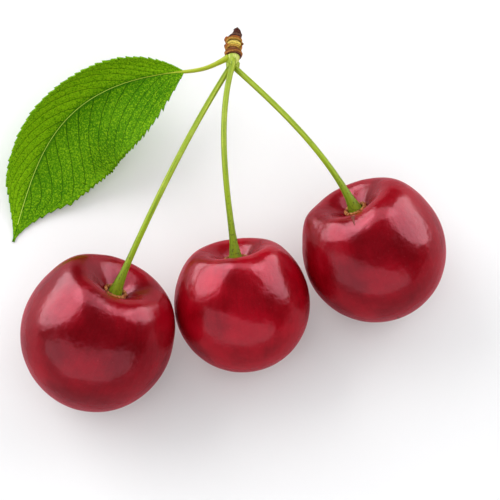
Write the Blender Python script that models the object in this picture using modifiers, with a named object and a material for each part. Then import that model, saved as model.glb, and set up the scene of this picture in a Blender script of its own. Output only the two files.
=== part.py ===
"""Three sweet cherries on their stalks, joined at one woody spur that also carries a leaf.

The bunch lies on a table: the fruits and the leaf touch it, and the stalks arch over to the
spur, which they carry clear of it. Metres, +Z up. The table is z = 0, the stalks run towards
+Y, the leaf lies on the -X side, and the origin is under the middle of the whole bunch.
"""

import math

import bmesh
import bpy
from mathutils import Matrix, Vector

MM = 0.001

# ---- driving dimensions ---------------------------------------------------

# One row for each fruit. width, depth and height are its true sizes along its own axes. azimuth
# (0 is +X, 90 is +Y) and elevation aim its stalk end, and roll turns it about that. beside is
# the azimuth at which it lies from the middle fruit. socket is the angle at which its stalk
# meets the spur, and splay how far to the side (+ is +X) the stalk leaves the spur for each
# step along it.
FRUITS = {
    "left": {
        "width": 27.0 * MM,
        "depth": 26.2 * MM,
        "height": 25.8 * MM,
        "azimuth": 60.0,
        "elevation": 42.0,
        "roll": 12.0,
        "beside": 193.2,
        "socket": 150.0,
        "splay": -0.46,
    },
    "middle": {
        "width": 24.2 * MM,
        "depth": 23.4 * MM,
        "height": 22.6 * MM,
        "azimuth": 99.0,
        "elevation": 34.0,
        "roll": 0.0,
        "beside": None,
        "socket": 270.0,
        "splay": -0.2,
    },
    "right": {
        "width": 25.6 * MM,
        "depth": 24.8 * MM,
        "height": 24.2 * MM,
        "azimuth": 121.0,
        "elevation": 39.0,
        "roll": -14.0,
        "beside": 22.4,
        "socket": 30.0,
        "splay": 0.95,
    },
}
MIDDLE_PLACE = (-1.0 * MM, -13.4 * MM)  # the middle fruit's centre, seen from above
FRUIT_GAP = 0.7 * MM  # between neighbouring fruits, at their widest
FRUIT_SEGMENTS = 36
FRUIT_RINGS = 24
CAVITY_DEPTH = 0.46  # of the half height, how far the stalk end dips
CAVITY_SPREAD = 0.37  # radians from the axis over which it dips
CAVITY_POWER = 2.6  # a higher power gives the dip a flatter floor
SHOULDER_POLAR = 0.66  # radians from the axis where the shoulders stand
SHOULDER_LIFT = 0.018  # how far they stand proud all round
SEAM_LIFT = 0.02  # and how much more of that on either side of the seam
BLOSSOM_DEPTH = 0.03
BLOSSOM_SPREAD = 0.22
WALL_MERIDIANS = 24  # on which the height of the cavity's wall is looked up
WALL_STEPS = 80  # and how finely on each

FIT_GAP = 0.2 * MM  # between pieces that touch

STALK_RADIUS = 0.55 * MM
STALK_LEAD = 0.36  # how far a stalk keeps its first direction, as a share of its reach
STALK_FOOT_RADIUS = 1.2 * MM  # the disc that sits in the cavity
STALK_FOOT_LENGTH = 3.2 * MM  # over which the stalk swells to that disc
STALK_FOOT_POWER = 1.3  # a higher power keeps the swelling fuller near the disc
STALK_FOOT_FADE = 3.0  # and a higher fade ends it sooner
STALK_FLARE_AT = 0.35  # of the first step, where one more ring stands
STALK_HEAD_RADIUS = 0.48 * MM  # where it leaves the spur
STALK_POINTS = 20
LINE_SAMPLES = 200  # points read from a Bezier curve before they are spaced evenly

RING_RADIUS = 0.3 * MM  # of the dry ring's own section

SPUR_PLACE = (-2.7 * MM, 29.6 * MM, 18.6 * MM)  # middle of the cushion's foot
SPUR_AZIMUTH = 88.0
SPUR_ELEVATION = -16.0
SOCKET_GAP = 0.35 * MM  # between two stalks where they leave the cushion
SOCKET_CIRCLE = (2 * STALK_HEAD_RADIUS + SOCKET_GAP) / math.sqrt(3)  # through their middles
SOCKET_NECK = 0.4 * MM  # each stands square on the cushion over this length
CUSHION_RIM = 0.07 * MM  # how far the cushion stands out past the stalks
CUSHION_RADIUS = SOCKET_CIRCLE + STALK_HEAD_RADIUS + CUSHION_RIM
CUSHION_LENGTH = 1.8 * MM
CORE_RADIUS = 0.72 * MM
CORE_LENGTH = 3.9 * MM
CORE_SWELLINGS = 4
CORE_WAIST = 0.1  # how much narrower it is between two swellings
SCALE_WALL = 0.34 * MM
SCALE_GAP = 0.12 * MM  # the scales hug the core closer than other pieces
# For each whorl of scales: its foot above the core's, its height, and its lip's flare.
SCALES = {
    "bud_scale_lower": (0.1 * MM, 0.9 * MM, 0.16 * MM),
    "bud_scale_middle": (1.25 * MM, 1.0 * MM, 0.03 * MM),
    "bud_scale_upper": (2.5 * MM, 0.9 * MM, 0.1 * MM),
}
BUD_RADIUS = 0.72 * MM
BUD_LENGTH = 1.5 * MM
BUD_WRINKLE = 0.1  # of its radius
BUD_LEAN = 0.3  # of its radius, how far its middle leans over

PETIOLE_RADIUS = 0.5 * MM  # at the cushion
PETIOLE_END_RADIUS = 0.38 * MM  # at the blade
PETIOLE_SEAT = 0.3  # of the cushion's length, how high on its flank the petiole springs
PETIOLE_LEAVES = (-1.0, 0.5, -0.05)  # its direction there, in the spur's own frame
PETIOLE_POINTS = 12
RIB_TIP_RADIUS = 0.24 * MM
RIB_SHARE = 0.6  # of the blade's length, how far the rib stands out under it
LEAF_THICKNESS = 0.4 * MM
LEAF_HALF_OUTER = 8.0 * MM  # the half away from the fruits, which curls up
LEAF_HALF_INNER = 14.0 * MM  # the half towards them, which lies nearly flat
LEAF_CURL_BASE = 78.0  # degrees that the outer half stands up near its base
LEAF_CURL_TIP = 45.0  # and near its tip
LEAF_REST = 7.0  # degrees that the inner half stands up
BLADE_WIDEST = 0.5  # of the blade's length, from its base
BLADE_RISE_OUTER = 2.3  # a higher power makes that half's base broader
BLADE_RISE_INNER = 3.6
BLADE_FALL = 2.0  # and the tip broader
BLADE_DRAWN_OUT = 0.8  # where its tip starts to draw out to a point
BLADE_DRAWN_IN = 3.5  # how fast it does so
BLADE_LEAST = 0.03  # of its half width, what is left at its two ends
LEAF_ROWS = 30
LEAF_COLUMNS = 6  # in each half
# The midrib's underside as a Bezier curve: the blade's base, two handles, and its tip.
MIDRIB = (
    (-11.7 * MM, 31.1 * MM, 11.4 * MM),
    (-37.0 * MM, 31.0 * MM, 6.0 * MM),
    (-39.7 * MM, 17.4 * MM, 0.0 * MM),
    (-43.6 * MM, 1.8 * MM, 0.0 * MM),
)

COLOURS = {
    "cherry_skin": ((0.26, 0.004, 0.012), 0.16),
    "stalk_green": ((0.33, 0.46, 0.035), 0.42),
    "receptacle_brown": ((0.34, 0.15, 0.04), 0.75),
    "spur_wood": ((0.42, 0.24, 0.06), 0.7),
    "bud_scale": ((0.36, 0.13, 0.03), 0.65),
    "dry_bud": ((0.06, 0.02, 0.012), 0.6),
    "leaf_green": ((0.07, 0.22, 0.012), 0.42),
}


# ---- scene and materials --------------------------------------------------


def clear_scene():
    for obj in list(bpy.data.objects):
        bpy.data.objects.remove(obj)


def new_collection(name):
    group = bpy.data.collections.new(name)
    bpy.context.scene.collection.children.link(group)
    return group


def new_material(name):
    colour, roughness = COLOURS[name]
    material = bpy.data.materials.new(name)
    material.use_nodes = True
    shader = material.node_tree.nodes["Principled BSDF"]
    shader.inputs["Base Color"].default_value = (*colour, 1.0)
    shader.inputs["Roughness"].default_value = roughness
    shader.inputs["Metallic"].default_value = 0.0
    return material


def new_object(bm, name, group, material):
    mesh = bpy.data.meshes.new(name)
    bm.to_mesh(mesh)
    bm.free()
    mesh.materials.append(material)
    mesh.shade_smooth()
    obj = bpy.data.objects.new(name, mesh)
    group.objects.link(obj)
    return obj


# ---- directions and lines -------------------------------------------------


def direction(azimuth, elevation):
    a, e = math.radians(azimuth), math.radians(elevation)
    return Vector((math.cos(a) * math.cos(e), math.sin(a) * math.cos(e), math.sin(e)))


def frame_along(axis, roll=0.0):
    """A turn whose +Z lies along axis, its +X level and to the right of it."""
    right = axis.cross(Vector((0, 0, 1))).normalized()
    turn = Matrix((right, axis.cross(right), axis)).transposed().to_4x4()
    return turn @ Matrix.Rotation(math.radians(roll), 4, "Z")


def bezier(start, start_handle, end_handle, end, count=LINE_SAMPLES):
    points = []
    for i in range(count):
        t = i / (count - 1)
        s = 1 - t
        near = start * s**3 + start_handle * (3 * s * s * t)
        points.append(near + end_handle * (3 * s * t * t) + end * t**3)
    return points


def lengths_along(line):
    lengths = [0.0]
    for a, b in zip(line, line[1:]):
        lengths.append(lengths[-1] + (b - a).length)
    return lengths


def evenly(line, count):
    """count points the same distance apart along a line of many points."""
    lengths = lengths_along(line)
    made, k = [], 0
    for i in range(count):
        at = lengths[-1] * i / (count - 1)
        while k < len(lengths) - 2 and lengths[k + 1] < at:
            k += 1
        share = (at - lengths[k]) / (lengths[k + 1] - lengths[k])
        made.append(line[k].lerp(line[k + 1], min(share, 1.0)))
    return made


# ---- kinds of solid -------------------------------------------------------


def tube(name, points, radii, group, material):
    """A round tube through points, with a radius of its own at each."""
    curve = bpy.data.curves.new(name, "CURVE")
    curve.dimensions = "3D"
    curve.bevel_depth = 1.0
    curve.bevel_resolution = 2
    curve.use_fill_caps = True
    spline = curve.splines.new("POLY")
    spline.points.add(len(points) - 1)
    for point, place, radius in zip(spline.points, points, radii):
        point.co = (*place, 1.0)
        point.radius = radius
    curve.materials.append(material)
    obj = bpy.data.objects.new(name, curve)
    group.objects.link(obj)
    return obj


def mesh_from_curve(obj, group):
    """The curve made a mesh with its caps welded on. The curve is removed."""
    graph = bpy.context.evaluated_depsgraph_get()
    mesh = bpy.data.meshes.new_from_object(obj.evaluated_get(graph))
    name, place = obj.name, obj.matrix_world.copy()
    bpy.data.objects.remove(obj)
    bm = bmesh.new()
    bm.from_mesh(mesh)
    bmesh.ops.remove_doubles(bm, verts=bm.verts, dist=1e-6)
    bmesh.ops.recalc_face_normals(bm, faces=bm.faces)
    bm.to_mesh(mesh)
    bm.free()
    made = bpy.data.objects.new(name, mesh)
    made.matrix_world = place
    group.objects.link(made)
    return made


def turned(name, profile, steps, group, material):
    """A turned solid. profile holds (radius, height) points, top to bottom down its outside."""
    bm = bmesh.new()
    line = [bm.verts.new((radius, 0.0, height)) for radius, height in profile]
    for a, b in zip(line, line[1:]):
        bm.edges.new((a, b))
    obj = new_object(bm, name, group, material)
    screw = obj.modifiers.new("turn", "SCREW")
    screw.axis = "Z"
    screw.angle = math.tau
    screw.steps = steps
    screw.render_steps = steps
    screw.use_merge_vertices = True
    screw.merge_threshold = 1e-6
    screw.use_smooth_shade = True
    return obj


# ---- fruits ---------------------------------------------------------------


def skin_reach(polar, around):
    """The skin's distance from the middle of a fruit of half size 1."""
    cavity = CAVITY_DEPTH * math.exp(-((polar / CAVITY_SPREAD) ** CAVITY_POWER))
    blossom = BLOSSOM_DEPTH * math.exp(-(((math.pi - polar) / BLOSSOM_SPREAD) ** 2))
    shoulder = math.exp(-(((polar - SHOULDER_POLAR) / (SHOULDER_POLAR / 2)) ** 2))
    lift = SHOULDER_LIFT + SEAM_LIFT * math.cos(2 * around)
    return 1.0 - cavity - blossom + lift * shoulder


def unit_height():
    """From the blossom end to the top of the shoulders, on a fruit of half size 1."""
    shoulders = (math.cos(polar / 100) * skin_reach(polar / 100, 0.0) for polar in range(100))
    return max(shoulders) + skin_reach(math.pi, 0.0)


def skin_point(fruit, polar, around):
    """A point of the skin in the fruit's own frame, whose stalk end is +Z."""
    reach = skin_reach(polar, around)
    return Vector(
        (
            reach * math.sin(polar) * math.cos(around) * fruit["width"] / 2,
            reach * math.sin(polar) * math.sin(around) * fruit["depth"] / 2,
            reach * math.cos(polar) * fruit["height"] / unit_height(),
        )
    )


def cavity_height(fruit, radius):
    """How high the cavity's wall stands at most, at this distance from its axis."""
    heights = []
    for k in range(WALL_MERIDIANS):
        around = math.tau * k / WALL_MERIDIANS
        polars = (SHOULDER_POLAR * i / WALL_STEPS for i in range(WALL_STEPS))
        wall = (skin_point(fruit, polar, around) for polar in polars)
        heights.append(next(place.z for place in wall if place.xy.length >= radius))
    return max(heights)


def fruit_place(fruit):
    """Its centre seen from above: beside the middle fruit, both resting on the table."""
    if fruit["beside"] is None:
        return MIDDLE_PLACE
    middle = FRUITS["middle"]
    apart = (fruit["width"] + middle["width"]) / 2 + FRUIT_GAP
    rise = (fruit["width"] - middle["width"]) / 2
    away = direction(fruit["beside"], 0.0) * math.sqrt(apart**2 - rise**2)
    return (MIDDLE_PLACE[0] + away.x, MIDDLE_PLACE[1] + away.y)


def make_fruit(side, group, material):
    fruit = FRUITS[side]
    bm = bmesh.new()
    bmesh.ops.create_uvsphere(
        bm, u_segments=FRUIT_SEGMENTS, v_segments=FRUIT_RINGS, radius=1.0
    )
    for vert in bm.verts:
        polar = math.acos(max(-1.0, min(1.0, vert.co.z)))
        vert.co = skin_point(fruit, polar, math.atan2(vert.co.y, vert.co.x))
    obj = new_object(bm, f"cherry_{side}", group, material)
    turn = frame_along(direction(fruit["azimuth"], fruit["elevation"]), fruit["roll"])
    lowest = min((turn @ vert.co).z for vert in obj.data.vertices)
    obj.matrix_world = Matrix.Translation((*fruit_place(fruit), -lowest)) @ turn
    return obj


def make_ring(side, body, group, material):
    """The dry ring round the stalk's foot, seated on the cavity's wall."""
    middle = STALK_FOOT_RADIUS + FIT_GAP + RING_RADIUS
    height = cavity_height(FRUITS[side], middle + RING_RADIUS) + FIT_GAP
    bpy.ops.mesh.primitive_torus_add(
        major_radius=middle,
        minor_radius=RING_RADIUS,
        major_segments=28,
        minor_segments=8,
    )
    obj = bpy.context.object
    obj.name = f"receptacle_ring_{side}"
    for other in obj.users_collection:
        other.objects.unlink(obj)
    group.objects.link(obj)
    obj.data.materials.append(material)
    obj.data.shade_smooth()
    obj.matrix_world = body.matrix_world @ Matrix.Translation((0, 0, height))
    return obj


# ---- stalks ---------------------------------------------------------------


def stalk_radius(along, length):
    """It swells to a disc at the fruit and thins a little towards the spur."""
    foot = math.exp(-((along / STALK_FOOT_LENGTH) ** STALK_FOOT_POWER) * STALK_FOOT_FADE)
    head = max(0.0, 1 - (length - along) / STALK_FOOT_LENGTH)
    swelling = (STALK_FOOT_RADIUS - STALK_RADIUS) * foot
    return STALK_RADIUS + swelling + (STALK_HEAD_RADIUS - STALK_RADIUS) * head


def make_stalk(side, body, spur, group, material):
    fruit = FRUITS[side]
    turn = body.matrix_world
    axis = turn.to_3x3() @ Vector((0, 0, 1))
    foot = turn @ Vector((0, 0, cavity_height(fruit, STALK_FOOT_RADIUS) + FIT_GAP))
    angle = math.radians(fruit["socket"])
    across = Vector((math.cos(angle), math.sin(angle), 0.0)) * SOCKET_CIRCLE
    head = spur @ (across - Vector((0, 0, FIT_GAP)))
    neck = spur @ (across - Vector((0, 0, FIT_GAP + SOCKET_NECK)))
    out = (spur.to_3x3() @ Vector((fruit["splay"], 0.0, -1.0))).normalized()
    lead = (neck - foot).length * STALK_LEAD
    line = bezier(foot, foot + axis * lead, neck + out * lead, neck)
    points = evenly(line, STALK_POINTS)
    flare = points[0].lerp(points[1], STALK_FLARE_AT)  # where the foot narrows fastest
    points = [points[0], flare, *points[1:], head]
    lengths = lengths_along(points)
    radii = [stalk_radius(along, lengths[-1]) for along in lengths]
    return tube(f"stalk_{side}", points, radii, group, material)


# ---- spur -----------------------------------------------------------------


def make_cushion(spur, group, material):
    """The green base from which the stalks and the leaf spring."""
    profile = [
        (0.0, CUSHION_LENGTH),
        (CUSHION_RADIUS * 0.74, CUSHION_LENGTH),
        (CUSHION_RADIUS * 0.88, CUSHION_LENGTH * 0.75),
        (CUSHION_RADIUS, CUSHION_LENGTH * 0.35),
        (CUSHION_RADIUS * 0.98, CUSHION_LENGTH * 0.1),
        (CUSHION_RADIUS * 0.9, 0.0),
        (0.0, 0.0),
    ]
    obj = turned("stalk_cushion", profile, 24, group, material)
    obj.matrix_world = spur
    return obj


def make_core(spur, group, material):
    """The woody short shoot above the cushion, waisted between its swellings."""
    foot = CUSHION_LENGTH + FIT_GAP
    count = CORE_SWELLINGS * 5
    profile = [(0.0, foot + CORE_LENGTH)]
    for i in range(count + 1):
        t = i / count
        swell = 1 + CORE_WAIST / 2 * (math.cos(math.tau * CORE_SWELLINGS * t) - 1)
        profile.append((CORE_RADIUS * swell, foot + CORE_LENGTH * (1 - t)))
    profile.append((0.0, foot))
    obj = turned("spur_core", profile, 24, group, material)
    obj.matrix_world = spur
    return obj


def make_scale_whorl(name, spur, group, material):
    """A whorl of dry bud scales: a collar round the core, with a flared lip."""
    rise, height, flare = SCALES[name]
    low = CUSHION_LENGTH + FIT_GAP + rise
    inner = CORE_RADIUS + SCALE_GAP
    outer = inner + SCALE_WALL
    profile = [
        (inner, low + height),
        (inner + SCALE_WALL * 0.6, low + height),
        (outer, low + height * 0.8),
        (outer + flare, low + height * 0.45),
        (outer + flare * 0.9, low + height * 0.2),
        (outer, low),
        (inner, low),
        (inner, low + height),
    ]
    obj = turned(name, profile, 28, group, material)
    obj.matrix_world = spur
    return obj


def make_bud(spur, group, material):
    """The dried bud at the very end, a wrinkled bead that leans over."""
    bm = bmesh.new()
    bmesh.ops.create_uvsphere(bm, u_segments=16, v_segments=10, radius=1.0)
    for vert in bm.verts:
        around = math.atan2(vert.co.y, vert.co.x)
        wrinkle = 1 + BUD_WRINKLE * math.sin(3 * around + 2 * vert.co.z)
        lean = BUD_LEAN * (vert.co.z + 1)
        vert.co.x = (vert.co.x * wrinkle + lean) * BUD_RADIUS
        vert.co.y = vert.co.y * wrinkle * BUD_RADIUS
        vert.co.z = vert.co.z * BUD_LENGTH / 2
    obj = new_object(bm, "dry_bud", group, material)
    foot = CUSHION_LENGTH + CORE_LENGTH + FIT_GAP * 2
    obj.matrix_world = spur @ Matrix.Translation((0, 0, foot + BUD_LENGTH / 2))
    return obj


# ---- leaf -----------------------------------------------------------------


def blade_share(t, rise):
    """A half's width as a share of its widest, t from the blade's base to its tip."""
    if t < BLADE_WIDEST:
        share = 1.0 - ((BLADE_WIDEST - t) / BLADE_WIDEST) ** rise
    else:
        share = 1.0 - ((t - BLADE_WIDEST) / (1 - BLADE_WIDEST)) ** BLADE_FALL
        share *= 1.0 - BLADE_DRAWN_IN * max(0.0, t - BLADE_DRAWN_OUT)
    return max(share, BLADE_LEAST)


def blade_rows(midrib):
    """Rows of points across the blade's middle surface, from its base to its tip."""
    rows = []
    for i, place in enumerate(midrib):
        t = i / (len(midrib) - 1)
        ahead = midrib[min(i + 1, len(midrib) - 1)] - midrib[max(i - 1, 0)]
        inner = Vector((-ahead.y, ahead.x, 0.0)).normalized()
        opening = math.sin(math.pi * (0.15 + 0.75 * t))  # flatter near the base and the tip
        curl = LEAF_CURL_BASE * (1 - t) + LEAF_CURL_TIP * t
        outer_half = LEAF_HALF_OUTER * blade_share(t, BLADE_RISE_OUTER)
        inner_half = LEAF_HALF_INNER * blade_share(t, BLADE_RISE_INNER)
        row = []
        for k in range(-LEAF_COLUMNS, LEAF_COLUMNS + 1):
            s = abs(k) / LEAF_COLUMNS
            half = (outer_half if k < 0 else inner_half) * s
            rise = (curl if k < 0 else LEAF_REST) * opening
            angle = math.radians(rise * (0.7 + 0.3 * s))
            side = inner * (half * math.cos(angle) * (-1 if k < 0 else 1))
            lift = Vector((0, 0, half * math.sin(angle) + LEAF_THICKNESS / 2))
            row.append(place + side + lift)
        rows.append(row)
    return rows


def make_blade(rows, group, material):
    bm = bmesh.new()
    grid = [[bm.verts.new(place) for place in row] for row in rows]
    for near, far in zip(grid, grid[1:]):
        for a, b, c, d in zip(near, near[1:], far[1:], far):
            bm.faces.new((a, b, c, d))
    obj = new_object(bm, "leaf", group, material)
    wall = obj.modifiers.new("thickness", "SOLIDIFY")
    wall.thickness = LEAF_THICKNESS
    wall.offset = 0.0
    return obj


def make_rib(midrib, spur, guides, material):
    """The petiole from the cushion's flank and, past it, the rib under the blade."""
    height = CUSHION_LENGTH * PETIOLE_SEAT
    flank = spur @ Vector((-(CUSHION_RADIUS + FIT_GAP), 0.0, height))
    start = spur @ Vector((-(CUSHION_RADIUS + FIT_GAP + SOCKET_NECK), 0.0, height))
    out = (spur.to_3x3() @ Vector(PETIOLE_LEAVES)).normalized()
    rise = Vector((0, 0, LEAF_THICKNESS / 2))
    base = midrib[0] + rise
    lead = (base - start).length * STALK_LEAD
    inward = (midrib[0] - midrib[1]).normalized()
    petiole = bezier(start, start + out * lead, base + inward * lead, base, PETIOLE_POINTS)
    kept = midrib[1 : int(len(midrib) * RIB_SHARE)]
    route = [flank, *petiole]
    radii = []
    for i in range(len(route)):
        share = i / (len(route) - 1)
        radii.append(PETIOLE_RADIUS * (1 - share) + PETIOLE_END_RADIUS * share)
    for i, place in enumerate(kept):
        share = (i + 1) / len(kept)
        radius = PETIOLE_END_RADIUS * (1 - share) + RIB_TIP_RADIUS * share
        route.append(place + Vector((0, 0, max(radius, rise.z))))
        radii.append(radius)
    return mesh_from_curve(tube("leaf_rib", route, radii, guides, material), guides)


def make_leaf(spur, group, guides, material):
    midrib = evenly(bezier(*map(Vector, MIDRIB)), LEAF_ROWS + 1)
    blade = make_blade(blade_rows(midrib), group, material)
    rib = make_rib(midrib, spur, guides, material)
    rib.hide_render = True
    rib.display_type = "WIRE"
    join = blade.modifiers.new("petiole and rib", "BOOLEAN")
    join.operation = "UNION"
    join.object = rib
    return blade


# ---- the bunch ------------------------------------------------------------


def lay_on_origin(objects, guides):
    """Moves the bunch so that the origin is on the table, under the middle of its box."""
    bpy.context.view_layer.update()
    graph = bpy.context.evaluated_depsgraph_get()
    low, high = Vector((1, 1, 1)), Vector((-1, -1, -1))
    for obj in objects:
        evaluated = obj.evaluated_get(graph)
        for vert in evaluated.to_mesh().vertices:
            place = evaluated.matrix_world @ vert.co
            low = Vector(map(min, low, place))
            high = Vector(map(max, high, place))
        evaluated.to_mesh_clear()
    bunch = bpy.data.objects.new("bunch", None)
    objects[0].users_collection[0].objects.link(bunch)
    for obj in [*objects, *guides]:
        obj.parent = bunch
    bunch.location = (-(low.x + high.x) / 2, -(low.y + high.y) / 2, -low.z)


def main():
    clear_scene()
    group = new_collection("cherries_on_stalks")
    guides = new_collection("guides")
    paint = {name: new_material(name) for name in COLOURS}
    spur = Matrix.Translation(SPUR_PLACE)
    spur = spur @ frame_along(direction(SPUR_AZIMUTH, SPUR_ELEVATION))
    for side in FRUITS:
        body = make_fruit(side, group, paint["cherry_skin"])
        make_ring(side, body, group, paint["receptacle_brown"])
        make_stalk(side, body, spur, group, paint["stalk_green"])
    make_cushion(spur, group, paint["stalk_green"])
    make_core(spur, group, paint["spur_wood"])
    for name in SCALES:
        make_scale_whorl(name, spur, group, paint["bud_scale"])
    make_bud(spur, group, paint["dry_bud"])
    make_leaf(spur, group, guides, paint["leaf_green"])
    lay_on_origin(list(group.objects), list(guides.objects))


main()
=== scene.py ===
import math

import bmesh
import bpy
import numpy as np
from mathutils import Matrix, Vector


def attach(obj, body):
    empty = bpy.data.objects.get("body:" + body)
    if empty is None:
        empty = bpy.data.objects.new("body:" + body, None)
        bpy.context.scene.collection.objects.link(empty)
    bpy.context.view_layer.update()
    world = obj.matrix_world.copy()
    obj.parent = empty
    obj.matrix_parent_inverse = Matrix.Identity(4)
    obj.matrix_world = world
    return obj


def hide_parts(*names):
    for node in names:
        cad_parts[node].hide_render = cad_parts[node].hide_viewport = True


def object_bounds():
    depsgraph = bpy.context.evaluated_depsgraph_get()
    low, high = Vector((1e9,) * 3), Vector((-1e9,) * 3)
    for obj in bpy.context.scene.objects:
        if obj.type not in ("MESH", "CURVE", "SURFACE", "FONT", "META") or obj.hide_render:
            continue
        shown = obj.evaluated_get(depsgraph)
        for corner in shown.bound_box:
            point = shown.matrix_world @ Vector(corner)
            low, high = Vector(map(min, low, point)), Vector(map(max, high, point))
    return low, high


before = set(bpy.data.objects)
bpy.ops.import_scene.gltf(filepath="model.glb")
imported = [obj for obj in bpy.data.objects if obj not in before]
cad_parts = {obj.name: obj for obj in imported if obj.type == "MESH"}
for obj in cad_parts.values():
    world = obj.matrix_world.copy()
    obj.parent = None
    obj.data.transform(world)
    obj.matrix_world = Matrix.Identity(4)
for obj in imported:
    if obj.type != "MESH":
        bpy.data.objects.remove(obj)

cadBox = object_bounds()
mm = 0.001
bpy.ops.object.select_all(action="DESELECT")
bpy.context.scene.tool_settings.mesh_select_mode = (True, False, False)
bpy.context.scene.view_settings.view_transform = "Standard"


camera = {
    "elevation": 73.0,  # degrees above the table
    "distance": 378 * mm,
    "sensor": 36,  # its width in millimetres, which only sets the length of the lens
    "nearest": 10 * mm,  # what is nearer isn't seen
    "width": 90 * mm,  # what the picture takes in at the target
    "target": (5.2 * mm, -5.1 * mm, -2.5 * mm),  # from the middle of the bunch's box
}
middle = (cadBox[0] + cadBox[1]) / 2
target = middle + Vector(camera["target"])
tilt = math.radians(camera["elevation"])
right = Vector((1, 0, 0))
up = Vector((0, math.sin(tilt), math.cos(tilt)))
near = Vector((0, -math.cos(tilt), math.sin(tilt)))


def addCamera():
    bpy.ops.object.camera_add(
        location=target + near * camera["distance"], rotation=(math.pi / 2 - tilt, 0, 0)
    )
    eye = bpy.context.object
    eye.name = "camera"
    eye.data.sensor_width = camera["sensor"]
    eye.data.lens = camera["sensor"] * camera["distance"] / camera["width"]
    eye.data.clip_start = camera["nearest"]
    bpy.context.scene.camera = eye


# each lamp: where it stands as (right, up, near), its distance, width, height, glow, and what it
# is for: "mirror" lamps only make the gleams on the fruits, "soft" ones only light
lamps = {
    "leftGleam": ((-0.775, 0.584, 0.242), 0.80, 1.00, 1.15, 7.4, "mirror"),
    "rightGleam": ((0.80, 0.55, 0.25), 0.80, 0.86, 1.02, 6.3, "mirror"),
    "backGleam": ((0.0, 0.82, 0.56), 0.80, 1.20, 0.50, 3.6, "mirror"),
    "lowGleam": ((-0.22, -0.78, 0.58), 0.80, 3.00, 0.84, 1.8, "mirror"),
    "leftKey": ((-0.70, 0.62, 0.35), 0.90, 0.90, 0.90, 2.2, "soft"),
    "rightKey": ((0.75, 0.55, 0.35), 0.90, 0.80, 0.80, 1.5, "soft"),
    "overhead": ((0.10, -0.10, 0.99), 0.90, 0.90, 0.90, 0.9, "soft"),
}
surround = {"colour": (0.97, 0.98, 1.0), "strength": 0.70}


def addLamps():
    for name, (where, distance, width, height, glow, use) in lamps.items():
        away = (right * where[0] + up * where[1] + near * where[2]).normalized()
        bpy.ops.object.light_add(type="AREA", location=target + away * distance)
        lamp = bpy.context.object
        lamp.name = name
        lamp.rotation_euler = (-away).to_track_quat("-Z", "Y").to_euler()
        lamp.data.shape = "ELLIPSE"
        lamp.data.size = width
        lamp.data.size_y = height
        lamp.data.energy = glow * math.pi * width * height * math.pi / 4  # the same glow at any size
        lamp.visible_glossy = use == "mirror"
        lamp.visible_diffuse = use == "soft"
        lamp.visible_camera = False
    world = bpy.data.worlds.new("studio")
    bpy.context.scene.world = world
    world.use_nodes = True
    background = world.node_tree.nodes["Background"]
    background.inputs["Color"].default_value = (*surround["colour"], 1)
    background.inputs["Strength"].default_value = surround["strength"]
    world.cycles_visibility.glossy = False


class Thread:  # one socket of a material; sums on it add Math nodes
    def __init__(self, tree, socket=None):
        self.tree = tree
        self.socket = socket

    def add(self, kind, settings, inputs, output=0):
        node = self.tree.nodes.new("ShaderNode" + kind)
        for name, value in settings.items():
            if name == "stops":
                while len(node.color_ramp.elements) < len(value):
                    node.color_ramp.elements.new(0.5)
                for element, (place, colour) in zip(node.color_ramp.elements, value):
                    element.position = place
                    element.color = colour
            else:
                setattr(node, name, value)
        for name, value in inputs.items():
            if isinstance(value, Thread):
                self.tree.links.new(value.socket, node.inputs[name])
            else:
                node.inputs[name].default_value = value
        return Thread(self.tree, node.outputs[output])

    def maths(self, operation, *values):
        return self.add("Math", {"operation": operation}, dict(enumerate(values)))

    def __add__(self, other):
        return self.maths("ADD", self, other)

    def __sub__(self, other):
        return self.maths("SUBTRACT", self, other)

    def __rsub__(self, other):
        return self.maths("SUBTRACT", other, self)

    def __mul__(self, other):
        return self.maths("MULTIPLY", self, other)

    def __truediv__(self, other):
        return self.maths("DIVIDE", self, other)

    def __pow__(self, other):
        return self.maths("POWER", self, other)

    def __abs__(self):
        return self.maths("ABSOLUTE", self)

    __radd__ = __add__

    def split(self):  # its three coordinates
        parts = self.add("SeparateXYZ", {}, {0: self})
        return [Thread(self.tree, output) for output in parts.socket.node.outputs]

    def ease(self, low, high):  # 0 below low, 1 above high
        settings = {"interpolation_type": "SMOOTHSTEP"}
        return self.add("MapRange", settings, {0: self, 1: low, 2: high})

    def noise(self, place, scale, detail=2.0, rough=0.5):
        inputs = {"Vector": place, "Scale": scale, "Detail": detail, "Roughness": rough}
        return self.add("TexNoise", {}, inputs)

    def mix(self, share, first, second):
        return self.add("Mix", {"data_type": "RGBA"}, {0: share, 6: first, 7: second}, 2)

    def bump(self, height, distance):
        return self.add("Bump", {}, {"Height": height, "Distance": distance, "Strength": 1.0})


def newMaterial(name, fixed):
    material = bpy.data.materials.new(name)
    material.use_nodes = True
    shader = material.node_tree.nodes["Principled BSDF"]
    for socket, value in fixed.items():
        shader.inputs[socket].default_value = value
    return material, Thread(material.node_tree), shader


def feed(thread, shader, **threads):
    names = {"colour": "Base Color", "roughness": "Roughness", "coat": "Coat Weight", "normal": "Normal"}
    for name, value in threads.items():
        thread.tree.links.new(value.socket, shader.inputs[names[name]])


def localPlace(thread, turn):  # object coordinates in a piece's own frame, in millimetres
    inputs = {
        "Vector": thread.add("TexCoord", {}, {}, "Object"),
        "Location": turn.to_translation(),
        "Rotation": turn.to_euler(),
        "Scale": (mm, mm, mm),
    }
    return thread.add("Mapping", {"vector_type": "TEXTURE"}, inputs)


def startPiece(name):
    piece = bpy.context.object
    piece.name = name
    piece.data.name = name
    return piece


def edit(piece):
    bpy.ops.object.select_all(action="DESELECT")
    bpy.context.view_layer.objects.active = piece
    piece.select_set(True)
    bpy.ops.object.mode_set(mode="EDIT")
    return bmesh.from_edit_mesh(piece.data)


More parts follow.
